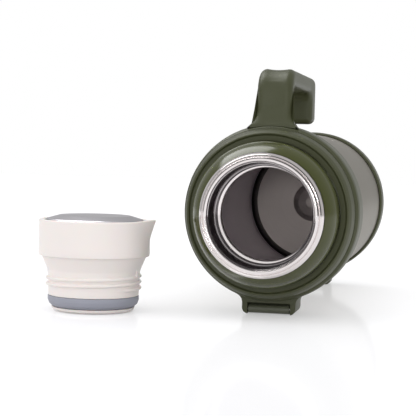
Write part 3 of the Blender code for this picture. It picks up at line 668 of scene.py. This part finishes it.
# --- Stopper body ---
# A cream moulding: a cup with a beak drawn out on its right side, a cone under it, and the plug
# with one right-hand thread that screws into the flask. The drink comes up inside and leaves by
# the beak. Three ribs carry the spring's guide, and a small rib ends the screw's travel.
cream_shell = plastic("cream_shell", linear(247, 239, 235), roughness=0.36, drift=0.02,
                      grain=1500.0, depth=0.00001, strength=0.2)
principled(cream_shell, Subsurface_Weight=0.2, Subsurface_Radius=(0.003, 0.0014, 0.0009))
CUP_R, PLUG_R = 30.4, 24.9
cup = [(28.5, 49.7, 0.4), (30.0, 49.7, 0.5), (CUP_R, 49.2, 0.4)]
cup += [(CUP_R, z, 0) for z in (47.5, 45.5, 43.5, 41.5, 39.5, 37.5, 35.5, 33.5)]
cup += [(CUP_R, 30.1, 2.0), (28.6, 29.9, 0.4), (28.3, 29.2, 0.6)]
plug = [(25.5, 22.4, 3.5), (25.2, 20, 2), (PLUG_R, 17, 1), (24.85, 8.6, 0.3), (20.2, 8.55, 0),
        (20.2, 2.5, 0)]
under = [(18.4, 2.5, 0), (18.4, 9.6, 0.4), (9.5, 9.6, 0.3), (9.5, 11.6, 0.3)]
bore = [(22.4, 11.6, 0.6), (22.4, 24, 2), (24.6, 28.8, 2), (28, 33.4, 2)]
bore += [(28, z, 0) for z in (35.5, 37.5, 39.5, 41.5, 43.5, 45.5, 47.5)] + [(28, 49.2, 0.3)]

# The beak grows out of the cup's wall from BEAK_LOW up, its flanks at a tangent to the round wall
BEAK_LOW, BEAK_H, BEAK_REACH, BEAK_TIP, WALL_IN = 33, 16.7, 4.25, 1.0, 27.5
body = turned(softened(cup + plug + under + bore), 240)
for vert in body.verts:
    if vert.co.z > BEAK_LOW * MM and vert.co.xy.length > WALL_IN * MM:
        climb = min(1, (vert.co.z / MM - BEAK_LOW) / BEAK_H)
        spread = math.acos(CUP_R / (CUP_R + BEAK_REACH * climb ** 1.7))
        angle = abs(math.atan2(vert.co.y, vert.co.x))
        if angle < spread:
            vert.co.xy /= math.cos(spread - angle)
            vert.co.z += BEAK_TIP * MM * climb ** 6 * (1 - angle / spread) ** 1.5
piece("pouring_cup", body, "stopper", STOOD, cream_shell, "cream", "stopper_body", crease=45)

THREAD_TURN = Matrix.Rotation(math.radians(-48), 4, "Z")
piece("plug_thread", thread_ridge(24.6, PLUG_R, 26.25, start_z=12.3, turns=2.4, width=2.25),
      "stopper", STOOD @ THREAD_TURN, cream_shell, "cream")
guide = [(8.6, 17, 0.3), (8.6, 36, 0.3), (7.3, 36, 0.3), (7.3, 22, 0), (2.5, 22, 0), (2.5, 20, 0),
         (5.8, 20, 0), (5.8, 17, 0)]
piece("spring_guide", turned(softened(guide), 96), "stopper", STOOD, cream_shell, "cream")


def rib(near, far, half_w, low, high, edge=0.25):
    """A flat rib that stands out from the axis along x, with soft edges; in mm."""
    outline = [(near, -half_w), (far, -half_w), (far, half_w), (near, half_w)]
    return carved(prism([(x * MM, y * MM) for x, y in outline], low * MM, high * MM), [],
                  edge * MM, "rib")


for number in range(3):
    turn = Matrix.Rotation(math.radians(60 + 120 * number), 4, "Z")
    piece(f"guide_rib_{number + 1}", rib(near=8, far=23.2, half_w=1, low=11.2, high=21), "stopper",
          STOOD @ turn, cream_shell, "cream")
STOP_TURN = Matrix.Rotation(math.radians(-8), 4, "Z")
piece("thread_stop", rib(near=PLUG_R, far=26.0, half_w=0.8, low=18.6, high=24.2), "stopper",
      STOOD @ STOP_TURN, cream_shell, "cream")


# --- Stopper seals ---
# A grey silicone ring closes the throat and a cream ring under it holds it on; a small seal of the
# same silicone keeps the drink off the spring.
seal = [(20.5, 2.5, 0), (22.4, 2.5, 0.4), (24.2, 4.0, 1.6), (24.95, 6.2, 2), (24.95, 8.2, 0.3),
        (24.5, 8.45, 0.2), (20.5, 8.45, 0)]
piece("throat_seal", turned(softened(seal), 192), "stopper", STOOD, silicone, "grey_silicone",
      "plug_seal")
holder = [(18.4, 0, 0.2), (21, 0, 0.6), (22.4, 0.8, 0.7), (22.8, 2.2, 0.15), (18.4, 2.2, 0)]
piece("seal_clamp", turned(softened(holder), 192), "stopper", STOOD, cream_shell, "cream",
      "seal_holder")
dress("stem_seal", silicone)


# --- Push button ---
# A silver disc with a wide bevel and a bright thin edge, on a white moulded base. A steel stem
# leads from it to the valve, and a white toothed ring round the stem latches it.
disc_satin = satin_metal("disc_satin", linear(206, 204, 208), roughness=0.34, streaks=0.06,
                         depth=0.00001, spacing=2200.0, edge=0.5)
disc = [(0, 52, 0), (19.6, 52, 1.2), (26.2, 50.1, 0.5), (26.7, 49.7, 0.2), (26.6, 49.1, 0.2),
        (25.8, 49.1, 0.1), (19.6, 50.9, 1), (0, 50.9, 0)]
piece("button_disc", turned(softened(disc, closed=False), 192), "button", STOOD, disc_satin,
      "button_silver", "button_cap")
white_moulding = plastic("white_moulding", linear(232, 228, 222), roughness=0.4, drift=0.03,
                         grain=1500.0, depth=0.00001, strength=0.2)
carrier = [(0, 50.5, 0), (19.4, 50.5, 0.6), (25.3, 48.7, 0.3), (25.3, 47.4, 0.3),
           (13.4, 47.4, 0.5), (13.4, 30, 0.3), (10.8, 30, 0.2), (10.8, 31.2, 0.2), (12, 31.2, 0),
           (12, 47.4, 0.5), (4.2, 47.4, 0.4), (4.2, 42, 0.3), (2.5, 42, 0), (2.5, 47.4, 0),
           (0, 47.4, 0)]
piece("button_carrier", turned(softened(carrier, closed=False), 144), "button", STOOD,
      white_moulding, "white_inner", "button_base")
spring_steel = satin_metal("spring_steel", linear(196, 194, 192), roughness=0.22, streaks=0.05,
                           depth=0.000004, spacing=2500.0)
dress("valve_stem", spring_steel)
dress("latch_ring", white_moulding)


# --- Return spring ---
# A steel coil whose end turns lie flat, held by the stopper's guide. It lifts the button, and gets
# shorter by the button's stroke when the button is pressed.
COIL_R, WIRE_R, COIL_LOW, COIL_HIGH, COIL_TURNS = 5.3 * MM, 0.45 * MM, 22.3 * MM, 47.1 * MM, 7.5
PER_TURN, FLAT_STEPS, WIRE_SIDES = 40, 34, 10
coil = bmesh.new()
steps = round(COIL_TURNS * PER_TURN)
rings = []
for step in range(steps + 1):
    angle = 2 * math.pi * step / PER_TURN
    share = min(1, max(0, (step - FLAT_STEPS) / (steps - 2 * FLAT_STEPS)))
    centre_z = COIL_LOW + WIRE_R + (COIL_HIGH - COIL_LOW - 2 * WIRE_R) * share
    ring = []
    for corner in range(WIRE_SIDES):
        turn = 2 * math.pi * corner / WIRE_SIDES
        r = COIL_R + WIRE_R * math.cos(turn)
        ring.append(coil.verts.new((r * math.cos(angle), r * math.sin(angle),
                                    centre_z + WIRE_R * math.sin(turn))))
    rings.append(ring)
sleeve(coil, rings)
coil.faces.new(rings[0])
coil.faces.new(rings[-1])
spring = piece("coil_spring", coil, "stopper", STOOD, spring_steel, "bright_steel",
               "return_spring")
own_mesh(spring)


# --- Valve ---
# A white disc under the plug's floor, with a silicone gasket that the spring pulls up against the
# port.
valve = [(0, 5.6, 0), (7.5, 5.6, 0.4), (8.2, 5.2, 0.3), (12.6, 5.2, 0.4), (12.9, 5.6, 0.3),
         (12.9, 7.4, 0.2), (4.2, 7.4, 0.3), (4.2, 13, 0.3), (2.5, 13, 0), (2.5, 7.4, 0),
         (0, 7.4, 0)]
piece("valve_plate", turned(softened(valve, closed=False), 128), "button", STOOD, white_moulding,
      "white_inner", "valve_disc")
gasket = [(8.6, 7.7, 0.2), (12.9, 7.7, 0.3), (12.7, 9.3, 0.4), (8.6, 9.3, 0.3)]
piece("valve_ring", turned(softened(gasket), 128), "button", STOOD, silicone, "grey_silicone",
      "valve_gasket")


# --- Table top ---
# A white glossy table top, just under the object, which shows a faint reflection. It looks about as
# white as the backdrop, but throws no light of its own on the object.

def looked_at(tree):
    """One for rays from the camera, a reflection or a clear body, and nought for all others."""
    ways = tree.nodes.new("ShaderNodeLightPath")
    return math_node(tree, "MAXIMUM", ways.outputs["Is Camera Ray"],
                     math_node(tree, "MAXIMUM", ways.outputs["Is Glossy Ray"],
                               ways.outputs["Is Transmission Ray"]))


table_bm = bmesh.new()
bmesh.ops.create_grid(table_bm, x_segments=1, y_segments=1, size=3)
table_mesh = bpy.data.meshes.new("table_top")
table_bm.to_mesh(table_mesh)
table_bm.free()
table_top = bpy.data.objects.new("table_top", table_mesh)
table_top.location.z = -0.2 * MM
bpy.context.collection.objects.link(table_top)
OWN_LIGHT, GLOSS_SHARE = 0.48, 0.2
gloss_white = bpy.data.materials.new("gloss_white")
gloss_white.use_nodes = True
tree = gloss_white.node_tree
tree.nodes.remove(tree.nodes["Principled BSDF"])
matt_part = node(tree, "ShaderNodeBsdfDiffuse", Color=(0.66, 0.66, 0.675, 1))
own_light = node(tree, "ShaderNodeEmission", Color=(1, 1, 1, 1),
                 Strength=math_node(tree, "MULTIPLY", looked_at(tree), OWN_LIGHT))
lit_sheet = node(tree, "ShaderNodeAddShader", i0=matt_part.outputs[0], i1=own_light.outputs[0])
gloss_part = node(tree, "ShaderNodeBsdfGlossy", Color=(1, 1, 1, 1), Roughness=0.09)
both = node(tree, "ShaderNodeMixShader", i0=GLOSS_SHARE, i1=lit_sheet.outputs[0],
            i2=gloss_part.outputs[0])
tree.links.new(both.outputs[0], tree.nodes["Material Output"].inputs["Surface"])
table_mesh.materials.append(gloss_white)


# --- Light ---
# Most of the light comes from the pale surround. A wide soft box high on the left is seen only in
# shiny surfaces, and a narrow weak beam reaches into the bottle.

def soft_box(name, place, target, size, power):
    """A rectangular lamp that faces a point."""
    lamp = bpy.data.lights.new(name, "AREA")
    lamp.shape = "RECTANGLE"
    lamp.size, lamp.size_y = size
    lamp.energy = power
    holder = bpy.data.objects.new(name, lamp)
    holder.location = place
    holder.rotation_euler = (Vector(target) - Vector(place)).to_track_quat("-Z", "Y").to_euler()
    bpy.context.collection.objects.link(holder)
    return holder


glow_box = soft_box("glow_box", (-0.47, 0.05, 1.09), target=(0.04, -0.1, 0.05), size=(0.7, 1.0),
                    power=11.5)
glow_box.visible_diffuse = False
deep_box = soft_box("deep_box", (0.12, -0.95, 0.12), target=(0.04, 0.1, 0.055), size=(0.1, 0.1),
                    power=0.0042)
deep_box.data.spread = math.radians(12)


# --- Surround and backdrop ---
# The surround that lights the object is pale and even, a little lighter from the front and above.
# Looked at, it is a white backdrop. Shiny surfaces see it grey instead, as in a studio, with a dark
# band round what is in front.
surround = bpy.data.worlds.new("surround")
bpy.context.scene.world = surround
surround.use_nodes = True
tree = surround.node_tree
tree.nodes.clear()


def sky_tone(tree, axis, stops):
    """A brightness that changes with direction, from against an axis (0) to along it (1)."""
    ramp = tree.nodes.new("ShaderNodeValToRGB")
    for number, (position, value) in enumerate(stops):
        stop = (ramp.color_ramp.elements[number] if number < 2
                else ramp.color_ramp.elements.new(position))
        stop.position = position
        stop.color = (value, value, value, 1)
    lean = node(tree, "ShaderNodeVectorMath",
                i0=tree.nodes.new("ShaderNodeTexCoord").outputs["Generated"],
                i1=tuple(Vector(axis).normalized()))
    lean.operation = "DOT_PRODUCT"
    half = math_node(tree, "MULTIPLY", lean.outputs["Value"], 0.5)
    tree.links.new(math_node(tree, "ADD", half, 0.5), ramp.inputs[0])
    return ramp.outputs[0]


even_light = node(tree, "ShaderNodeBackground", Strength=1.24,
                  Color=sky_tone(tree, (-0.05, -0.6, 0.6), ((0.1, 0.6), (0.95, 1.0))))
screens = sky_tone(tree, (0, -1, 0), ((0.0, 0.82), (0.1, 0.6), (0.35, 0.55), (0.6, 0.42),
                                      (0.72, 0.06), (0.80, 0.06), (0.86, 0.95)))
in_gloss = tree.nodes.new("ShaderNodeLightPath").outputs["Is Glossy Ray"]
seen_tone = math_node(tree, "ADD", math_node(tree, "MULTIPLY", in_gloss, screens),
                      math_node(tree, "SUBTRACT", 1.0, in_gloss))
backdrop = node(tree, "ShaderNodeBackground", Color=seen_tone, Strength=1.0)
last_mix = node(tree, "ShaderNodeMixShader", i0=looked_at(tree), i1=even_light.outputs[0],
                i2=backdrop.outputs[0])
surface = tree.nodes.new("ShaderNodeOutputWorld")
tree.links.new(last_mix.outputs[0], surface.inputs["Surface"])
bpy.context.scene.view_settings.view_transform = "Standard"
